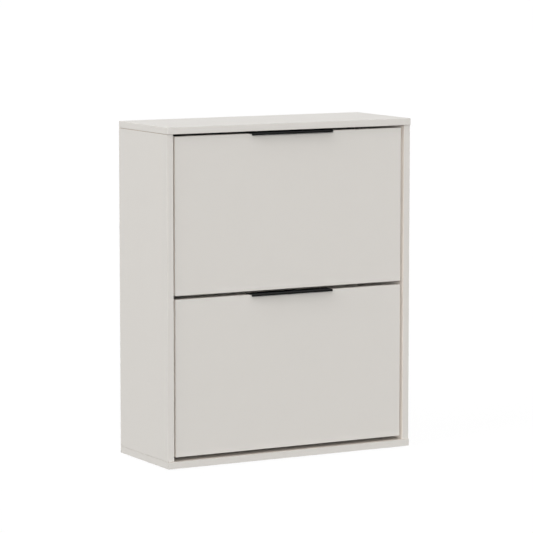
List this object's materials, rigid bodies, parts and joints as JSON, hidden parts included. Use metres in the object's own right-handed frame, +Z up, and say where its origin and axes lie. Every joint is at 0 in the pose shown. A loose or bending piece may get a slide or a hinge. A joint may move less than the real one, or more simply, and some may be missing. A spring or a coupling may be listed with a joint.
{
  "type": "shoe cabinet",
  "caption": "Slim free-standing shoe cabinet with tip-out flaps one above the other, each a door with an edge pull and a double shoe rack behind it.",
  "frame": {"origin": "on the floor, under the middle of the cabinet's overall box, handles included", "axes": "+Z up, +Y towards the wall behind it, +X to the right of someone facing the doors"},
  "size_m": [0.6, 0.2374, 0.733],
  "materials": {
    "cashmere_board": "matt melamine, warm light grey",
    "backing_board": "thin board, printed dark grey",
    "black_metal": "matt black powder coat",
    "black_plastic": "moulded, fine texture",
    "white_nylon": "natural nylon",
    "zinc": "zinc-plated",
    "plated_steel": "bright zinc-plated"
  },
  "bodies": {
    "carcass": {"top_panel": "cashmere_board", "bottom_panel": "cashmere_board", "left_side_panel": "cashmere_board", "right_side_panel": "cashmere_board", "back_panel": "backing_board", "back_rail": "cashmere_board", "glide_front_left": "black_plastic", "glide_front_right": "black_plastic", "glide_rear_left": "black_plastic", "glide_rear_right": "black_plastic", "cam_lock_front_left": "zinc", "cam_lock_front_right": "zinc", "cam_lock_rear_left": "zinc", "cam_lock_rear_right": "zinc", "base_screw_front_left": "zinc", "base_screw_front_right": "zinc", "base_screw_rear_left": "zinc", "base_screw_rear_right": "zinc", "wall_bracket_left": "plated_steel", "wall_bracket_right": "plated_steel", "wall_bracket_screw_left": "zinc", "wall_bracket_screw_right": "zinc", "lower_pivot_bush_left": "white_nylon", "lower_pivot_bush_right": "white_nylon", "upper_pivot_bush_left": "white_nylon", "upper_pivot_bush_right": "white_nylon", "lower_stop_peg_left": "plated_steel", "lower_stop_peg_right": "plated_steel", "upper_stop_peg_left": "plated_steel", "upper_stop_peg_right": "plated_steel"},
    "lower_flap": {"lower_door": "cashmere_board", "lower_handle": "black_metal", "lower_front_floor": "backing_board", "lower_divider": "backing_board", "lower_rear_floor": "backing_board", "lower_rear_board": "backing_board", "lower_cheek_left": "black_plastic", "lower_cheek_right": "black_plastic", "lower_cheek_screw_left_low": "zinc", "lower_cheek_screw_left_high": "zinc", "lower_cheek_screw_right_low": "zinc", "lower_cheek_screw_right_high": "zinc", "lower_handle_screw_left": "zinc", "lower_handle_screw_right": "zinc"},
    "upper_flap": {"upper_door": "cashmere_board", "upper_handle": "black_metal", "upper_front_floor": "backing_board", "upper_divider": "backing_board", "upper_rear_floor": "backing_board", "upper_rear_board": "backing_board", "upper_cheek_left": "black_plastic", "upper_cheek_right": "black_plastic", "upper_cheek_screw_left_low": "zinc", "upper_cheek_screw_left_high": "zinc", "upper_cheek_screw_right_low": "zinc", "upper_cheek_screw_right_high": "zinc", "upper_handle_screw_left": "zinc", "upper_handle_screw_right": "zinc"}
  },
  "joints": [
    {"name": "lower_flap_tilt", "type": "hinge", "parent": "carcass", "child": "lower_flap", "pos_m": [0, -0.08275, 0.0965], "axis": [1, 0, 0], "range_deg": [0, 50]},
    {"name": "upper_flap_tilt", "type": "hinge", "parent": "carcass", "child": "upper_flap", "pos_m": [0, -0.08275, 0.4435], "axis": [1, 0, 0], "range_deg": [0, 50]}
  ]
}
